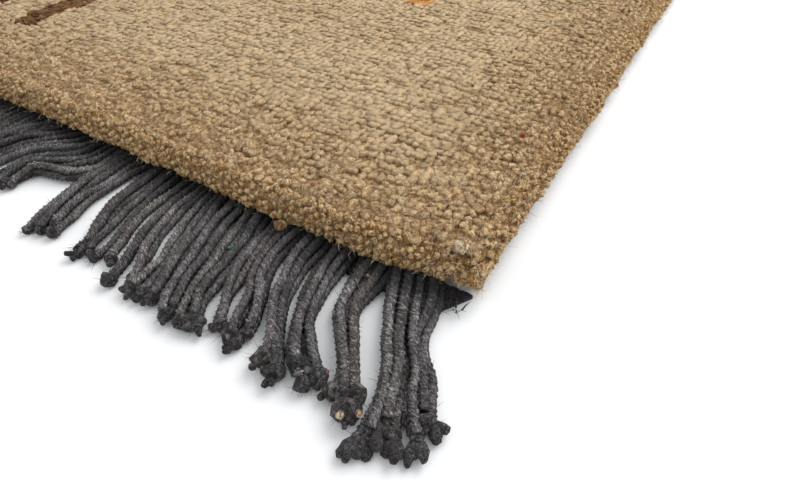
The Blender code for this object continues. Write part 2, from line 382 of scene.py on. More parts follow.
def laid_shapes(shapes, kinds, frames, sizes, places, colours, foot=(0.44, 0.355, 0.27, 1.0)):
    """Parts for joined_piece: each place gets the shape of its kind in its colour, with painted shade
    darkening it toward the foot by the factors of foot, and with its own fibres."""
    parts = []
    for kind, shape in enumerate(shapes):
        chosen = kinds == kind
        if not chosen.any():
            continue
        points, triangles = laid_copies(shape, frames[chosen], sizes[chosen], places[chosen])
        points[:, 2] = np.maximum(points[:, 2], FLOOR_GAP)
        own = shape[0][None] * sizes[chosen][:, None, :] + places[chosen][:, None, :] * 7.3
        # Painted shade: each copy is drawn darker and warmer toward its foot by the factors of foot, as if
        # shaded by its neighbours, and less so where the pile is packed
        upper = np.clip(shape[0][:, 2:3] / 1.1 + 0.55, 0.0, 1.0)
        packed = 0.4 * (1.0 - colours[chosen][:, None, 3:])
        shade = 1.0 - (1.0 - upper) * (1.0 - np.array(foot)) * (1.0 - packed)
        shaded = colours[chosen][:, None, :] * shade
        parts.append((points, triangles, shaded.reshape(-1, 4), own.reshape(-1, 3)))
    return parts


strip = np.minimum((tips[:, 1] / PILE_LENGTH + 0.5) * TUFT_STRIPS, TUFT_STRIPS - 0.01).astype(int)
for number in range(TUFT_STRIPS):
    mine = strip == number
    parts = laid_shapes(shapes, kinds[mine], frames[mine], sizes[mine], centres[mine], colours[mine])
    piece = joined_piece(f"tufts_{number + 1}", parts, pile_wool)
    place_piece(piece, "tan_wool_pile", "pile")


# Lower pile: the tufts' hidden lengths, packed and felted so tightly that they make one springy layer.
# Only their tips open out above it, and it shows as the shallow bottom of the gaps between them.
# Its rounded side from the top down: inset and height
LOWER_SIDE = (
    (0.0120, 0.0177), (0.0075, 0.0168), (0.0044, 0.0147), (0.0024, 0.0120),
    (0.0022, 0.0088), (0.0036, 0.0060), (0.0062, 0.0045), (0.0100, 0.0037))


def pulled_rim(bm, rim):
    """Extrudes an open rim, and gives the new rim's edges and points."""
    made = bmesh.ops.extrude_edge_only(bm, edges=rim)["geom"]
    rim = [part for part in made if isinstance(part, bmesh.types.BMEdge) and part.is_boundary]
    return rim, {vert for edge in rim for vert in edge.verts}


def lower_pile():
    """A slab with rounded sides, everywhere a millimetre or two inside the finished pile."""
    bm = bmesh.new()
    layer = bm.verts.layers.float_vector.new("place")
    bmesh.ops.create_grid(bm, x_segments=64, y_segments=88, size=1.0)
    for vert in bm.verts:
        vert[layer] = vert.co.copy()
        x, y = outline_point(vert.co.x, vert.co.y, LOWER_SIDE[0][0])
        to_edge = min(HALF_WIDTH - abs(x), HALF_LENGTH - abs(y))
        bumps = 0.0003 * wander(x / 0.015, y / 0.015, 4.0)
        vert.co = (x, y, LOWER_SIDE[0][1] + bumps + 0.0004 * min(to_edge / LOOSE_RIM, 1.0))
    rim = [edge for edge in bm.edges if edge.is_boundary]
    for inset, height in LOWER_SIDE[1:]:
        rim, verts = pulled_rim(bm, rim)
        for vert in verts:
            vert.co = (*outline_point(vert[layer].x, vert[layer].y, inset), height)
    bmesh.ops.contextual_create(bm, geom=rim)
    return shape_arrays(bm)


# The slab has the tufts' own wool, a little darker for the shade between them
points, triangles = lower_pile()
from_edge = np.minimum(HALF_WIDTH - np.abs(points[:, 0]), HALF_LENGTH - np.abs(points[:, 1]))
shade = 0.54 + 0.12 * np.clip(from_edge / 0.07, 0.0, 1.0)
shaded = tan_wool(points) * np.column_stack([shade, shade * 0.90, shade * 0.76, np.ones(len(points))])
pile_core = joined_piece("lower_pile", [(points, triangles, shaded, points * 1.0)], pile_wool)
place_piece(pile_core, "tan_wool_pile", "pile")


# Rim locks: the outermost tufts, which have nothing to lean on and fan outward over the header and the
# side cords, so that their whole combed length shows.
LOCK_PITCH = 0.0030
LOCK_RADIUS = 0.00185
LOCK_TIERS = 6
LOCK_KINDS = 10
# The side's rounded section from the top down: inset, height and direction above level in degrees
RIM_PROFILE = np.array((
    (0.0080, 0.0190, 76.0), (0.0060, 0.0182, 66.0), (0.0028, 0.0158, 46.0), (0.0004, 0.0120, 20.0),
    (0.0000, 0.0088, 0.0), (0.0010, 0.0060, -16.0), (0.0030, 0.0042, -26.0)))


def lock_shape(kind):
    """One long tuft, two units wide and one long, its tip at the origin: round, tapered to its foot."""
    bm = bmesh.new()
    bmesh.ops.create_cone(bm, cap_ends=True, segments=4, radius1=0.62, radius2=1.0, depth=1.0)
    bmesh.ops.translate(bm, vec=(0, 0, -0.5), verts=bm.verts)
    top = [face for face in bm.faces if all(vert.co.z > -0.01 for vert in face.verts)]
    bmesh.ops.poke(bm, faces=top)
    for vert in bm.verts:
        wobble = noise.noise_vector(vert.co * 1.4 + Vector((kind * 5.1, 4.0, 0.0)))
        if vert.co.z > -0.01 and vert.co.xy.length < 0.1:
            vert.co = Vector((wobble.x * 0.5, wobble.y * 0.5, 0.0))
        elif vert.co.z > -0.01:
            narrowed = Vector((vert.co.x * 0.84, vert.co.y * 0.84, -0.10))
            vert.co = narrowed + wobble * Vector((0.25, 0.25, 0.05))
        else:
            vert.co += wobble * Vector((0.22, 0.22, 0.0))
    return shape_arrays(bm)


def rim_stations(pitch):
    """Evenly spaced places round the rug as (u, v, outward direction)."""
    stops = []
    for side in (-1.0, 1.0):
        for step in np.arange(-1.0 + pitch / PILE_LENGTH, 1.0, pitch / HALF_LENGTH):
            stops.append((side, step, side, 0.0))
        for step in np.arange(-1.0 + pitch / PILE_WIDTH, 1.0, pitch / HALF_WIDTH):
            stops.append((step, side, 0.0, side))
    for side in (-1.0, 1.0):
        for end in (-1.0, 1.0):
            for turn in (0.15, 0.35, 0.5, 0.65, 0.85):
                angle = turn * math.pi / 2
                stops.append((side, end, side * math.cos(angle), end * math.sin(angle)))
    return stops


profile_stops = np.arange(len(RIM_PROFILE))
places = []
leans = []
lengths = []
for number, (u_stop, v_stop, out_x, out_y) in enumerate(rim_stations(LOCK_PITCH)):
    for tier in range(LOCK_TIERS):
        stop = (tier + 0.3 + 0.45 * (number % 2) + scatter.normal(0.0, 0.12)) / LOCK_TIERS
        inset, height, rise = [
            np.interp(stop * profile_stops[-1], profile_stops, column) for column in RIM_PROFILE.T]
        x, y = outline_point(u_stop, v_stop, inset)
        lobe = noise.noise_vector(Vector((x / 0.014, y / 0.014, 1.0 + tier * 0.4)))
        heading = math.atan2(out_y, out_x) + math.radians(scatter.normal(0.0, 10.0) + 22.0 * lobe.x)
        tilt = math.radians(rise + scatter.normal(0.0, 8.0) + 10.0 * lobe.y)
        reach = 0.0018 * lobe.z + scatter.normal(0.0, 0.0005)
        aside = scatter.normal(0.0, 0.0006)
        places.append((x + out_x * reach - out_y * aside, y + out_y * reach + out_x * aside, height))
        level = math.cos(tilt)
        leans.append((level * math.cos(heading), level * math.sin(heading), math.sin(tilt)))
        lengths.append(scatter.uniform(0.0085, 0.0115))
places = np.array(places)
leans = np.array(leans)
count = len(places)
radii = LOCK_RADIUS * scatter.uniform(0.85, 1.2, count)
sizes = np.stack([radii, radii * scatter.uniform(0.85, 1.15, count), np.array(lengths)], axis=1)
frames = turned_frames(leans, scatter.uniform(0.0, 2 * math.pi, count))
kinds = scatter.integers(0, LOCK_KINDS, count)
lock_shapes = [lock_shape(kind) for kind in range(LOCK_KINDS)]
# The rim locks' wool is a little lighter than the field's, and their painted shade toward the foot is
# lighter too
colours = np.minimum(tan_wool(places) * (1.14, 1.15, 1.16, 1.0), 1.0)
parts = laid_shapes(lock_shapes, kinds, frames, sizes, places, colours, (0.76, 0.67, 0.54, 1.0))
rim_locks = place_piece(joined_piece("rim_locks", parts, pile_wool), "tan_wool_pile", "pile")


# Headers: a narrow flat-woven strip at each end that keeps the knots from working loose, of charcoal
# wefts beaten down hard over the warps. The warps run on out of it as the fringe.
HEADER_REACH = 0.0060
HEADER_TAPER = 0.0090
HEADER_SIDE_INSET = 0.0030
HEADER_HEIGHT = 0.0024
STRANDS_PER_END = 120


def header(end):
    """The strip at the front (-1) or back (1): ribs of weft over the warps, its far side tapered in."""
    inner_half = HALF_WIDTH - HEADER_SIDE_INSET
    outer_y = -HALF_LENGTH - HEADER_REACH
    bm = bmesh.new()
    bmesh.ops.create_grid(bm, x_segments=2 * STRANDS_PER_END, y_segments=8, size=1.0)
    for vert in bm.verts:
        out = (1.0 - vert.co.y) / 2
        warp = round((vert.co.x + 1.0) * STRANDS_PER_END)
        weft = round(out * 8)
        rib = 0.00035 if (warp + weft) % 2 else -0.00035
        inner_y = -HALF_LENGTH + OVERHANG + 0.0006
        x = vert.co.x * (inner_half - HEADER_TAPER * out)
        vert.co = (x, inner_y + (outer_y - inner_y) * out, HEADER_HEIGHT - 0.0009 * out ** 2 + rib)
    rim = [edge for edge in bm.edges if edge.is_boundary]
    rim, verts = pulled_rim(bm, rim)
    for vert in verts:
        vert.co.z = 0.0
    bmesh.ops.contextual_create(bm, geom=rim)
    if end > 0:
        bmesh.ops.rotate(bm, cent=(0, 0, 0), matrix=Matrix.Rotation(math.pi, 3, "Z"), verts=bm.verts)
    for face in bm.faces:
        face.smooth = True
    return outward_mesh(bm, "header")


# Tightly spun charcoal wool: a heather of near-black, grey and a little plum fibre, matt with dull lights
header_wool, shader = wool("flat_woven_charcoal_wool", 0.9, 0.05)
place = add_node(header_wool, "TexCoord").outputs["Object"]
heather = add_node(header_wool, "TexNoise", inputs={"Vector": place, "Scale": 900.0, "Detail": 3.0})
header_colour = ramp(header_wool, heather.outputs["Fac"], (0.35, "121010"), (0.75, "353133"))
finish_wool(header_wool, shader, header_colour, heather.outputs["Fac"], 0.8, 0.0008)

for end, node in ((-1, "fringe_front"), (1, "fringe_back")):
    piece = bpy.data.objects.new(node.replace("fringe", "header"), header(end))
    piece.data.materials.append(header_wool)
    place_piece(piece, "charcoal_wool_yarn", node)


# Fringe: the warps left long, each a thick three-ply yarn of charcoal wool that lies on the floor. They
# fall together in bunches, some over others, and end in a knot with the plies frayed below it.
YARN_RADIUS = 0.00198
PLY_DEPTH = 0.00026
PLY_TURN = 0.0082
FRONT_RING_STEP = 0.00110
BACK_RING_STEP = 0.00155
KNOT_RADIUS = 0.0019
# The corner bunch's knot size marks it as the one whose ends are splayed out
SPLAYED = 1.25
TIP_PITCH = 0.0030
FRAY_HAIRS = 9
STRAND_HAIRS = 10
HAIR_WIDTH = 0.00009
YARN_WIDTH = 0.0040
MM = 0.001
# The bunches from the front right corner leftwards: strands, knot size, then the rightmost and the
# leftmost strand's six points from the rim to the tip, in millimetres across and outward from the corner
TRACED_BUNCHES = (
    (9, SPLAYED, -15, 4, -10, 18, -8, 29, -1, 39, 4, 48, 12, 55,
     -34, 9, -29, 20, -20.5, 35, -14.5, 45, -10.5, 57, -9, 71),
    (5, 2.2, -36, 8, -36, 21, -35.5, 30, -28.5, 41, -21, 51, -13, 62,
     -48, 9, -46, 22, -41.5, 33, -34.5, 43, -28, 52, -20, 65),
    (5, 1.9, -53, 10, -52, 22, -50, 34, -46, 44, -40, 51, -30, 59,
     -62, 11, -61, 21, -57, 34, -52, 46, -45, 55, -35, 63),
    (4, 1.9, -66, 11, -66, 22, -62, 35, -57, 47, -49, 57, -43, 65,
     -74, 12, -73, 23, -70, 33, -66, 42, -59, 53, -54, 63),
    (4, 1.7, -79, 12, -79, 22, -76, 34, -69, 44, -63, 54, -61, 63,
     -85, 12, -84, 24, -80, 38, -76, 46, -72, 55, -70, 63),
    (2, 1.2, -90, 12, -88, 25, -84, 39, -80, 50, -75, 58, -73, 64,
     -94, 11, -92, 26, -88, 39, -83, 49, -78, 59, -76, 65),
    (8, 1.6, -98, 11, -94, 25, -91, 40, -89, 53, -85, 60, -81, 65,
     -117, 12, -115, 25, -110, 39, -104, 52, -100, 61, -95, 69),
    (6, 1.5, -120, 12, -116, 26, -112, 40, -109, 51, -107, 58, -106, 64,
     -140, 10, -139, 23, -134, 37, -129, 48, -125, 56, -121, 64),
    (2, 1.6, -144, 9, -144, 22, -141, 36, -136, 49, -131, 59, -128, 67,
     -150, 8, -150, 22, -148, 36, -143, 48, -139, 57, -137, 63),
    (5, 1.2, -156, 7, -155, 21, -153, 34, -149, 46, -146, 54, -144, 62,
     -171, 7, -170, 22, -168, 35, -163, 47, -158, 56, -155, 64),
    (5, 1.3, -176, 7, -179, 18, -179, 30, -178, 41, -175, 51, -172, 60,
     -199, 6, -198, 20, -195, 34, -192, 46, -189, 56, -185, 65),
    (5, 1.3, -191, 8, -191, 18, -193, 26, -201, 34, -219, 37, -222, 56,
     -214, 5, -216, 14, -220, 21, -228, 27, -233, 36, -237, 52),
    (6, 1.3, -217, 4, -221, 12, -230, 19, -240, 27, -244, 38, -244, 56,
     -250, 1, -256, 9, -261, 18, -264, 29, -267, 41, -267, 58),
)
# The rest of the front, which the photo doesn't show: strands, sweep and reach of the tips in millimetres
COMBED_BUNCHES = (
    (6, -9, 53), (6, -6, 51), (5, -10, 53), (6, -8, 52), (5, -6, 50), (6, -12, 53), (6, -10, 51),
    (5, -9, 53), (6, -7, 52), (5, -12, 50), (6, -11, 53), (5, -9, 51), (5, -14, 50),
)
# The back is combed throughout: its number of bunches, their strands and reaches, and its fan of sweeps
BACK_BUNCHES = 20
BACK_BUNCH = 6
BACK_REACHES = (52, 51, 54, 50)
BACK_FAN = (28, -14)
HIDDEN_ROOT = 0.0115

# From here on the draws have their own seed, so that a change to the pile leaves the fringe as it is
scatter = np.random.default_rng(14)


def strand_roots():
    """Where the strands leave the header, from right to left."""
    half_width = HALF_WIDTH - HEADER_SIDE_INSET - HEADER_TAPER
    return half_width - (np.arange(STRANDS_PER_END) + 0.5) * 2 * half_width / STRANDS_PER_END


def between_courses(right, left, strands, knot_size):
    """A bunch's strands, spread between its two outer ones, some of them crossing over their neighbour."""
    share = np.linspace(0.0, 1.0, strands)
    tip_share = share.copy()
    for i in range(0, strands - 1, 2):
        if scatter.random() < 0.45:
            tip_share[[i, i + 1]] = tip_share[[i + 1, i]]
    along = np.linspace(0.0, 1.0, len(right))[:, None] ** 1.5
    courses = []
    for i in range(strands):
        mix = share[i] * (1 - along) + tip_share[i] * along
        courses.append(right * (1 - mix) + left * mix)
    bunch = []
    for i, course in enumerate(courses):
        resting = np.interp(
            np.linspace(0, 1, len(course)), (0, 0.2, 0.5, 1), (0.0015, 0.0008, 0.0003, 0.0001))
        if i % 2:
            near = [np.linalg.norm(course - courses[j], axis=1) for j in (i - 1, i + 1) if j < strands]
            apart = np.minimum(np.min(near, axis=0), YARN_WIDTH)
            resting = resting + 0.85 * np.sqrt(YARN_WIDTH ** 2 - apart ** 2)
        drift = scatter.normal(0.0, 0.0006, course.shape) * np.linspace(0.3, 1.0, len(course))[:, None]
        stagger = scatter.uniform(-0.005, 0.003)
        ahead = (course[-1] - course[-2]) / np.linalg.norm(course[-1] - course[-2])
        course = course + drift
        course[-1] += ahead * (stagger - 0.0015 * knot_size)
        start = np.append(course[0] * 2 - course[1], 0.0)
        start[0] = course[0][0] + (start[0] - course[0][0]) * 0.5
        start[1:] = (-HALF_LENGTH - HEADER_REACH + HIDDEN_ROOT, YARN_RADIUS + 0.0019)
        bunch.append((np.vstack([start, np.column_stack([course, YARN_RADIUS + resting])]), knot_size))
    return bunch


def front_lays():
    """The front's strands, bunch by bunch, each as its course in metres and the size of its knot."""
    corner = np.array([HALF_WIDTH, -HALF_LENGTH + CORNER_RECESS])
    bunches = []
    for strands, knot_size, *traced in TRACED_BUNCHES:
        right, left = corner + np.reshape(traced, (2, 6, 2)) * [MM, -MM]
        bunches.append(between_courses(right, left, strands, knot_size))
    roots = strand_roots()[-sum(row[0] for row in COMBED_BUNCHES):]
    for strands, sweep, reach in COMBED_BUNCHES:
        bunches.append(combed_bunch(roots[:strands], sweep * MM, reach * MM))
        roots = roots[strands:]
    return bunches


def combed_bunch(roots, sweep, reach):
    """A bunch that gathers towards its tips and leans to one side."""
    outer_y = -HALF_LENGTH - HEADER_REACH
    centre = roots.mean()
    gathered = centre + (roots - centre) * (TIP_PITCH * len(roots)) / (roots[0] - roots[-1] + 0.005)
    along = np.linspace(0.02, 1.0, 5)
    courses = []
    for i in (0, -1):
        across = roots[i] + (gathered[i] - roots[i]) * along + sweep * along ** 1.25
        courses.append(np.column_stack([across, outer_y - reach * along]))
    return between_courses(*courses, len(roots), 1.35)


def back_lays():
    """The far end's strands, laid as the front's are and turned round afterwards."""
    roots = strand_roots()
    bunches = []
    for number in range(BACK_BUNCHES):
        sweep = (BACK_FAN[0] + (BACK_FAN[1] - BACK_FAN[0]) * number / (BACK_BUNCHES - 1)) * MM
        reach = BACK_REACHES[number % 4] * MM
        bunches.append(combed_bunch(roots[number * BACK_BUNCH:(number + 1) * BACK_BUNCH], sweep, reach))
    return bunches


def even_steps(points, step):
    """Points along a polyline at an even spacing."""
    lengths = np.linalg.norm(np.diff(points, axis=0), axis=1)
    along = np.concatenate([[0.0], np.cumsum(lengths)])
    stops = np.linspace(0.0, along[-1], max(4, round(along[-1] / step)))
    return np.stack([np.interp(stops, along, points[:, axis]) for axis in range(3)], axis=1)


def strand_path(course, step, seed):
    """A strand's centreline, smooth through its course, with the slight waves of worn yarn."""
    padded = np.concatenate([2 * course[:1] - course[1:2], course, 2 * course[-1:] - course[-2:-1]])
    t = np.linspace(0.0, 1.0, 10, endpoint=False)[:, None]
    runs = []
    for before, start, end, after in zip(padded, padded[1:], padded[2:], padded[3:]):
        bow = (2 * before - 5 * start + 4 * end - after) * t ** 2
        turn = (3 * start - before - 3 * end + after) * t ** 3
        runs.append(0.5 * (2 * start + (end - before) * t + bow + turn))
    path = even_steps(np.concatenate([*runs, course[-1:]]), step)
    for i in range(len(path)):
        short = noise.noise_vector(Vector((i * step / 0.009, seed * 3.1, 0.0)))
        long = noise.noise_vector(Vector((i * step / 0.026, seed * 3.1, 4.0)))
        fade = min(1.0, i * step / 0.012)
        path[i, :2] += fade * (0.0007 * np.array(short)[:2] + 0.0016 * np.array(long)[:2])
        path[i, 2] += fade * 0.0005 * abs(short[2])
    return path


def knot_ball(centre, ahead, radius, seed):
    """A tight overhand knot: a lumpy ball with the yarn's two turns standing up round it."""
    side = np.cross(ahead, [0.0, 0.0, 1.0])
    side /= np.linalg.norm(side)
    above = np.cross(side, ahead)
    points = []
    for ring in range(1, 5):
        polar = ring * math.pi / 5
        for spoke in range(8):
            turn = spoke * math.pi / 4 + 0.4 * ring
            lump = 1.0 + 0.16 * math.sin(2 * turn + 2.5 * polar + seed) + scatter.normal(0.0, 0.08)
            spread = math.sin(polar) * lump
            round_it = side * math.cos(turn) * spread + above * math.sin(turn) * spread
            points.append(round_it + ahead * math.cos(polar))
    points += [ahead * 1.05, ahead * -1.05]
    triangles = []
    for ring in range(3):
        for spoke in range(8):
            a = ring * 8 + spoke
            b = ring * 8 + (spoke + 1) % 8
            triangles += [[a, a + 8, b], [b, a + 8, b + 8]]
    for spoke in range(8):
        triangles += [[32, spoke, (spoke + 1) % 8], [33, 24 + (spoke + 1) % 8, 24 + spoke]]
    return centre + np.array(points) * radius, np.array(triangles)


def yarn_tube(path, radii, phase):
    """A three-ply yarn along a path: six-sided, ridge and groove in turn, twisted, closed at both ends."""
    ahead = np.gradient(path, axis=0)
    ahead /= np.linalg.norm(ahead, axis=1, keepdims=True)
    side = np.cross(ahead, [0.0, 0.0, 1.0])
    side /= np.maximum(np.linalg.norm(side, axis=1, keepdims=True), 1e-6)
    above = np.cross(side, ahead)
    along = np.concatenate([[0.0], np.cumsum(np.linalg.norm(np.diff(path, axis=0), axis=1))])
    ply = np.arange(6) * math.pi / 3
    angle = ply[None] + phase + along[:, None] / PLY_TURN * 2 * math.pi
    groove = np.arange(6) % 2
    ridge = radii[:, None] + np.where(groove, -PLY_DEPTH, PLY_DEPTH)[None] * radii[:, None] / YARN_RADIUS
    around = side[:, None] * np.cos(angle)[..., None] + above[:, None] * np.sin(angle)[..., None]
    points = path[:, None] + around * ridge[..., None]
    rings = len(path)
    this = np.arange(rings - 1)[:, None] * 6 + np.arange(6)
    turn = np.arange(rings - 1)[:, None] * 6 + (np.arange(6) + 1) % 6
    walls = np.concatenate([
        np.stack([this, turn, turn + 6], axis=2).reshape(-1, 3),
        np.stack([this, turn + 6, this + 6], axis=2).reshape(-1, 3)])
    last = (rings - 1) * 6
    first_cap = [[0, i + 1, i] for i in range(1, 5)]
    last_cap = [[last, last + i, last + i + 1] for i in range(1, 5)]
    own = np.stack([
        np.broadcast_to(np.cos(ply) * YARN_RADIUS, angle.shape),
        np.broadcast_to(np.sin(ply) * YARN_RADIUS, angle.shape),
        np.broadcast_to(along[:, None] * 0.60, angle.shape)], axis=2) + phase
    # Painted shadow: each strand is near-black where it runs under the header and the overhanging pile, and
    # lightens over about 14 mm as it comes out. Painted shade also darkens its lower half and its ply
    # grooves and lightens its ridges, over the yarn's own slow clouds of tone
    cloud = np.array([wander(stop / 0.009, phase * 5.0, 2.0) for stop in along])
    out_of_rim = np.clip((along - HIDDEN_ROOT + 0.003) / 0.014, 0.0, 1.0)
    shade = (1.0 + 0.60 * cloud) * (0.15 + 0.85 * out_of_rim)
    upper = np.clip((points[..., 2] - path[:, None, 2]) / radii[:, None] * 0.8 + 0.75, 0.0, 1.0)
    shade = shade[:, None] * np.where(groove, 0.80, 1.08)[None] * (0.38 + 0.62 * upper)
    triangles = np.concatenate([walls, first_cap, last_cap])
    return points.reshape(-1, 3), triangles, own.reshape(-1, 3), shade.ravel()


def hair_points(start, ahead, length, width, bend):
    """A single thick fibre or ply end: three-sided, bent, and tapering to a point."""
    side = np.cross(ahead, bend)
    side /= max(np.linalg.norm(side), 1e-6)
    above = np.cross(side, ahead)
    spokes = [side * math.cos(angle) + above * math.sin(angle) for angle in (0.0, 2.1, 4.2)]
    points = [start + spoke * width for spoke in spokes]
    halfway = start + ahead * length * 0.5 + bend * length * 0.12
    points += [halfway + spoke * width * 0.8 for spoke in spokes]
    points.append(start + ahead * length + bend * length * 0.5)
    triangles = [[0, 2, 1]]
    for i in range(3):
        j = (i + 1) % 3
        triangles += [[i, j, j + 3], [i, j + 3, i + 3], [i + 3, j + 3, 6]]
    return np.array(points), np.array(triangles)


def ply_end(start, ahead, length, bend, thick):
    """The soft, rounded end of one unravelled ply."""
    side = np.cross(ahead, bend)
    side /= max(np.linalg.norm(side), 1e-6)
    above = np.cross(side, ahead)
    points = []
    for along, width in ((0.0, 0.0011), (0.50, 0.0014), (0.90, 0.0009)):
        middle = start + ahead * length * along + bend * length * 0.3 * along ** 2
        for spoke in range(5):
            angle = spoke * 2 * math.pi / 5
            rough = width * thick * scatter.uniform(0.75, 1.25)
            points.append(middle + (side * math.cos(angle) + above * math.sin(angle)) * rough)
    points.append(start + ahead * length + bend * length * 0.3)
    triangles = [[0, 2, 1], [0, 3, 2], [0, 4, 3]]
    for i in range(5):
        j = (i + 1) % 5
        triangles += [[i, j, j + 5], [i, j + 5, i + 5], [i + 5, j + 5, j + 10], [i + 5, j + 10, i + 10]]
        triangles.append([i + 10, j + 10, 15])
    return np.array(points), np.array(triangles)


def heather():
    """A charcoal yarn's own colour at its lightest fibres, now and then browner or more plum."""
    base = np.array(linear("A6A5A5"))
    brown = 0.07 * abs(scatter.normal())
    plum = 0.02 * abs(scatter.normal())
    tint = np.array([1.0 + brown * 0.5 + plum, 1.0, 1.0 - brown * 0.4 + plum * 0.7, 1.0])
    return np.clip(base * tint * (1.0 + 0.20 * scatter.normal()), 0.02, 0.9)


def plain_part(points, triangles, colour, grain=1.0):
    """A part for joined_piece in one colour, its own fibres following from where it lies."""
    return points, triangles, np.tile(colour, (len(points), 1)), points * grain


def fringe_parts(bunches, step, turned):
    """All strands of one end with their knots, fuzz and frayed ends, as parts for joined_piece."""
    parts = []
    for course, knot_size in [strand for bunch in bunches for strand in bunch]:
        seed = len(parts) * 0.37
        path = strand_path(course, step, seed)
        ahead = (path[-1] - path[-4]) / np.linalg.norm(path[-1] - path[-4])
        thickness = [wander(i * step / 0.02, seed, 7.0) for i in range(len(path))]
        radii = YARN_RADIUS * scatter.uniform(0.90, 1.10) * (1.0 + 0.16 * np.array(thickness))
        colour = heather()
        points, triangles, own, shade = yarn_tube(path, radii, scatter.uniform(0.0, 6.0))
        shaded = colour[None] * np.column_stack([shade, shade, shade, np.ones(len(shade))])
        parts.append((points, triangles, shaded, own))
        radius = KNOT_RADIUS * knot_size * scatter.uniform(0.8, 1.15)
        knot = path[-1] + ahead * radius * 0.4
        knot[2] = radius * 0.92
        points, triangles = knot_ball(knot, ahead, radius, seed)
        # Painted shade: the knot and the ply ends frayed below it are drawn in the strand's own colour at
        # about a quarter, for the shade inside the tight knot
        knot_shade_colour = colour * [0.26, 0.26, 0.26, 1.0]
        parts.append(plain_part(points, triangles, knot_shade_colour, 0.3))
        splayed = knot_size == SPLAYED
        plies = scatter.integers(3, 6) if splayed else scatter.integers(0, 3)
        for fray in range(plies + FRAY_HAIRS + STRAND_HAIRS):
            ply = fray < plies
            on_strand = fray >= plies + FRAY_HAIRS
            direction = ahead + scatter.normal(0.0, 0.4 if ply else 0.9, 3)
            direction[2] = abs(direction[2]) * 0.4 - 0.1
            if on_strand:
                direction = scatter.normal(0.0, 1.0, 3)
                direction[2] = abs(direction[2])
            direction /= np.linalg.norm(direction)
            start = knot + direction * radius * 0.8
            if on_strand:
                start = path[scatter.integers(len(path) // 4, len(path))] + direction * YARN_RADIUS * 0.8
            length = scatter.uniform(0.0012, 0.0048)
            if ply:
                length = scatter.uniform(0.0040, 0.0075) if splayed else scatter.uniform(0.0018, 0.0036)
            bend = scatter.normal(0.0, 0.3 if ply else 0.6, 3)
            if ply:
                points, triangles = ply_end(start, direction, length, bend, 1.5 if splayed else 1.0)
            else:
                points, triangles = hair_points(start, direction, length, HAIR_WIDTH, bend)
            parts.append(plain_part(points, triangles, knot_shade_colour if ply else colour))
    for points, *_ in parts:
        points[:, 2] = np.maximum(points[:, 2], FLOOR_GAP)
    if turned:
        parts = [(points * np.array([-1.0, -1.0, 1.0]), *rest) for points, *rest in parts]
    return parts


# Spun heather wool: fibres of black, grey and plum follow the plies' twist, with pale ones here and there
yarn_wool, shader = wool("spun_charcoal_heather_wool", 0.9, 0.06)
dye = add_node(yarn_wool, "Attribute", {"attribute_name": "fibre_colour"})
own = add_node(yarn_wool, "Attribute", {"attribute_name": "fibre_place"}).outputs["Vector"]
strands = add_node(yarn_wool, "TexNoise", inputs={
    "Vector": own, "Scale": 1500.0, "Detail": 4.0, "Roughness": 0.8, "Distortion": 0.9})
blend = ramp(yarn_wool, strands.outputs["Fac"], (0.36, "3A3738"), (0.50, "807B7A"), (0.62, "FFFFFF"))
tinted = add_node(yarn_wool, "Mix", {"data_type": "RGBA", "blend_type": "MULTIPLY"}, {
    0: 1.0, 6: dye.outputs["Color"], 7: blend})
flecks = add_node(yarn_wool, "TexVoronoi", inputs={"Vector": own, "Scale": 420.0})
pale = ramp(yarn_wool, flecks.outputs["Distance"], (0.10, "6F6C69"), (0.20, "000000"))
yarn_colour = add_node(yarn_wool, "Mix", {"data_type": "RGBA", "blend_type": "ADD"}, {
    0: 0.6, 6: tinted.outputs[2], 7: pale})
finish_wool(yarn_wool, shader, yarn_colour.outputs[2], strands.outputs["Fac"], 0.9, 0.0007)

for name, bunches, step, turned in (
        ("front", front_lays(), FRONT_RING_STEP, False),
        ("back", back_lays(), BACK_RING_STEP, True)):
    piece = joined_piece(f"yarns_{name}", fringe_parts(bunches, step, turned), yarn_wool)
    place_piece(piece, "charcoal_wool_yarn", f"fringe_{name}")


# Header fuzz: short charcoal hairs and weft ends that stand out of each header and hide its weave. The
# first hundred hairs of each header stand close to its two ends, where the wefts turn back.
HEADER_HAIRS = 600
END_HAIRS = 100
END_SPAN = 0.014
for end, name in ((-1, "front"), (1, "back")):
    parts = []
    for hair in range(HEADER_HAIRS):
        across = scatter.uniform(-1.0, 1.0) * (HALF_WIDTH - HEADER_SIDE_INSET)
        if hair < END_HAIRS:
            across = math.copysign(HALF_WIDTH - HEADER_SIDE_INSET - scatter.uniform(0.0, END_SPAN), across)
        out = scatter.uniform(-0.002, HEADER_REACH)
        if hair < END_HAIRS:
            out *= 0.3
        start = np.array([across, end * (HALF_LENGTH + out), HEADER_HEIGHT * 0.8])
        direction = scatter.normal(0.0, 1.0, 3) + [0.0, end * 0.8, 0.0]
        direction[2] = abs(direction[2])
        direction /= np.linalg.norm(direction)
        length = scatter.uniform(0.0015, 0.0042)
        width = 0.00014 if hair % 3 else 0.0004
        points, triangles = hair_points(start, direction, length, width, scatter.normal(0.0, 0.8, 3))
        points[:, 2] = np.maximum(points[:, 2], FLOOR_GAP)
        parts.append(plain_part(points, triangles, heather() * [0.35, 0.35, 0.35, 1.0]))
    piece = joined_piece(f"header_fuzz_{name}", parts, yarn_wool)
    place_piece(piece, "charcoal_wool_yarn", f"fringe_{name}")


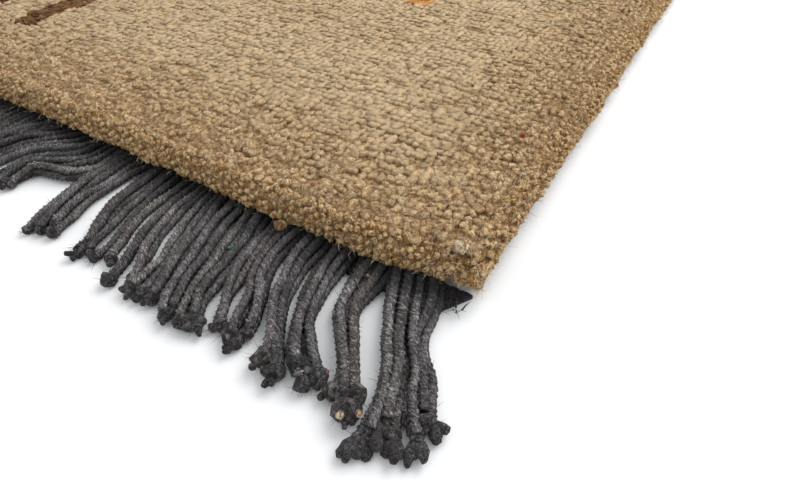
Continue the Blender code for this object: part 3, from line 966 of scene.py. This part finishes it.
# Neps: tiny matted balls of other wool, caught up in the yarn when it was spun: white, yellow, green and
# plum ones in the fringe, and a red one and some pale, larger lumps in the pile.
# Where they sit: across, along, height and radius in millimetres from the rug's middle, then colour
NEPS = (
    (292.7, -450.3, 5.2, 1.1, "E8DCCB"), (219.0, -466.3, 6.0, 1.0, "D9D2C6"),
    (235.6, -458.0, 5.0, 0.9, "C9C24A"), (211.6, -442.4, 5.2, 0.9, "5FA08A"),
    (294.4, -479.6, 6.4, 1.4, "EADFD2"), (299.4, -476.6, 7.4, 1.1, "E3CDB8"),
    (258.1, -453.4, 5.0, 0.7, "B9B2AC"), (245.6, -455.4, 5.0, 0.8, "D8D4D0"),
    (269.3, -426.9, 6.0, 1.0, "9A9794"), (268.1, -447.3, 5.0, 0.8, "C4BEB8"),
    (242.2, -475.9, 5.0, 1.1, "4E3438"), (281.2, -469.0, 5.0, 0.9, "8F6E6A"),
    (288.7, -322.1, 19.2, 1.3, "C0563C"), (298.8, -407.6, 20.6, 3.0, "F6E3C8"),
    (282.9, -382.0, 19.2, 1.7, "D8AF8C"), (224.2, -424.6, 9.8, 2.5, "A98F6A"),
    (262.0, -398.0, 19.3, 1.5, "D9C39C"), (301.0, -352.0, 18.6, 1.6, "DCC8A2"))
parts = []
for across, along, height, radius, hex_colour in NEPS:
    middle = np.array([across, along, height]) * MM
    points, triangles = knot_ball(middle, np.array([0.6, 0.64, 0.48]), radius * MM, across)
    points += scatter.normal(0.0, radius * MM * 0.08, points.shape)
    parts.append(plain_part(points, triangles, linear(hex_colour)))
neps = place_piece(joined_piece("neps", parts, pile_wool), "tan_wool_pile", "pile")


# Side cords: a bundle of warps along each side, overcast with charcoal yarn so closely that the turns
# touch. They keep the side from fraying and lie just under the overhanging pile.
CORD_WIDTH = 0.0048
CORD_HEIGHT = 0.0042
CORD_TURN = 0.0034
CORD_SIDES = 8
CORD_STEP = 0.0015


def overcast_cord(side):
    """A round cord on the floor along one side, ribbed by its slanting turns, closed at both ends."""
    half_length = HALF_LENGTH - CORNER_RECESS - OVERHANG
    inset = OVERHANG - 0.0006 - CORD_WIDTH / 2
    rings = round(2 * half_length / CORD_STEP)
    bm = bmesh.new()
    bmesh.ops.create_grid(bm, x_segments=CORD_SIDES, y_segments=rings, size=1.0)
    for vert in bm.verts:
        along = vert.co.y * half_length
        angle = (vert.co.x + 1.0) * math.pi
        turn = along / CORD_TURN * 2 * math.pi + angle
        swell = 1.0 + 0.09 * math.sin(turn) + 0.05 * wander(along / 0.003, side, 0.0)
        middle = outline_point(side, along / HALF_LENGTH, inset)[0]
        vert.co = (
            middle + math.cos(angle) * CORD_WIDTH / 2 * swell,
            along,
            max(CORD_HEIGHT / 2 + math.sin(angle) * CORD_HEIGHT / 2 * swell, 0.0))
    bmesh.ops.remove_doubles(bm, verts=bm.verts, dist=0.00001)
    bmesh.ops.holes_fill(bm, edges=[edge for edge in bm.edges if edge.is_boundary], sides=0)
    for face in bm.faces:
        face.smooth = len(face.verts) == 4
    return outward_mesh(bm, "side_cord")


for side, node in ((-1.0, "selvage_left"), (1.0, "selvage_right")):
    piece = bpy.data.objects.new(node.replace("selvage", "side_cord"), overcast_cord(side))
    piece.data.materials.append(header_wool)
    place_piece(piece, "charcoal_wool_yarn", node)


# Loose fibres: single coarse hairs that have worked up out of the tufts and the yarn. They stand off the
# pile in small curls, thickest round its rim where it is brushed most.
FIBRE_KINDS = 12
FIBRES_ON_TOP = 3200
FIBRES_ON_RIM = 4400


def fibre_shape(kind):
    """One curled hair from the origin upward, about one long: three-sided, tapering to a point."""
    turn = kind * 2.3
    reach = 0.35 + 0.65 * (kind % 5) / 4
    middles = [
        Vector((0.0, 0.0, 0.0)),
        Vector((0.30 * reach * math.cos(turn), 0.30 * reach * math.sin(turn), 0.42)),
        Vector((0.85 * reach * math.cos(turn + 0.5), 0.85 * reach * math.sin(turn + 0.5), 0.62))]
    bm = bmesh.new()
    ring = [bm.verts.new((0.019 * math.cos(a), 0.019 * math.sin(a), 0.0)) for a in (0.0, 2.094, 4.189)]
    face = bm.faces.new(ring)
    face = bmesh.ops.extrude_discrete_faces(bm, faces=[face])["faces"][0]
    for vert in face.verts:
        vert.co = middles[1] + vert.co * 0.8
    tip = bmesh.ops.poke(bm, faces=[face])["verts"][0]
    tip.co = middles[2]
    bmesh.ops.contextual_create(bm, geom=[edge for edge in bm.edges if edge.is_boundary])
    return shape_arrays(bm)


picked = scatter.choice(len(tips), FIBRES_ON_TOP, p=(0.25 + loose) / (0.25 + loose).sum())
to_corner = np.hypot(HALF_WIDTH - np.abs(places[:, 0]), HALF_LENGTH - np.abs(places[:, 1]))
brushed = 1.0 + 3.0 * np.exp(-(to_corner / 0.03) ** 2)
rim_picked = scatter.choice(len(places), FIBRES_ON_RIM, p=brushed / brushed.sum())
roots = np.concatenate([tips[picked] - [0, 0, 0.0008], places[rim_picked] - leans[rim_picked] * 0.0012])
lying = scatter.normal(0.0, 1.0, (len(roots), 3)) * 0.7
lying[:len(picked), 2] = np.abs(lying[:len(picked), 2]) * 0.5 + 0.25
lying[len(picked):] += leans[rim_picked] * 1.6
roots += scatter.normal(0.0, 0.0008, roots.shape)
roots[:, 2] = np.maximum(roots[:, 2], 0.002)
count = len(roots)
long = scatter.uniform(0.003, 0.0070, count)
sizes = np.stack([long, long, long], axis=1)
frames = turned_frames(lying, scatter.uniform(0.0, 2 * math.pi, count))
kinds = scatter.integers(0, FIBRE_KINDS, count)
colours = np.tile(linear("E6D5B2"), (count, 1))
colours[:, :3] *= scatter.uniform(0.7, 1.0, (count, 1))
fibre_shapes = [fibre_shape(kind) for kind in range(FIBRE_KINDS)]
# The hairs get the same painted shade from laid_shapes, darker toward their roots
parts = laid_shapes(fibre_shapes, kinds, frames, sizes, roots, colours)

# A single wool hair: 0.04 mm thick in truth and drawn about 0.2 mm thick so that it shows, pale and dull
hair_wool, shader = wool("loose_wool_hair", 0.7, 0.1)
dye = add_node(hair_wool, "Attribute", {"attribute_name": "fibre_colour"})
hair_wool.node_tree.links.new(dye.outputs["Color"], shader.inputs["Base Color"])
fibres = place_piece(joined_piece("loose_fibres", parts, hair_wool), "tan_wool_pile", "pile")


# Floor, light and camera: a plain white studio sweep, one broad soft light and the photograph's view.
bpy.ops.mesh.primitive_plane_add(size=8.0, location=(0.0, 0.0, -0.0002))
floor = bpy.context.object
floor.name = "floor"
floor_paint = bpy.data.materials.new("matt_white_floor")
floor_paint.use_nodes = True
floor_shader = floor_paint.node_tree.nodes["Principled BSDF"]
floor_shader.inputs["Base Color"].default_value = linear("E4E4E4")
floor_shader.inputs["Roughness"].default_value = 0.8
floor.data.materials.append(floor_paint)

world = bpy.data.worlds.new("studio")
bpy.context.scene.world = world
world.use_nodes = True
sky = world.node_tree.nodes["Background"].inputs
sky["Color"].default_value = (0.96, 0.98, 1.0, 1.0)
sky["Strength"].default_value = 1.0

lamp = bpy.data.lights.new("soft_box", "AREA")
lamp.shape = "RECTANGLE"
lamp.size = 1.6
lamp.size_y = 1.2
lamp.energy = 30.0
soft_box = bpy.data.objects.new("soft_box", lamp)
soft_box.location = (0.7, 0.9, 1.35)
soft_box.rotation_euler = (Vector((0.1, -0.3, 0.0)) - soft_box.location).to_track_quat("-Z", "Y").to_euler()
bpy.context.collection.objects.link(soft_box)

camera = bpy.data.cameras.new("camera")
camera.lens = 23.4
camera.sensor_width = 36.0
camera.clip_start = 0.01
camera_stand = bpy.data.objects.new("camera", camera)
camera_stand.location = (0.3509, -0.5374, 0.1530)
camera_stand.rotation_euler = (math.radians(90.0 - 44.16), 0.0, math.radians(31.27))
bpy.context.collection.objects.link(camera_stand)
bpy.context.scene.camera = camera_stand
bpy.context.scene.view_settings.view_transform = "Standard"
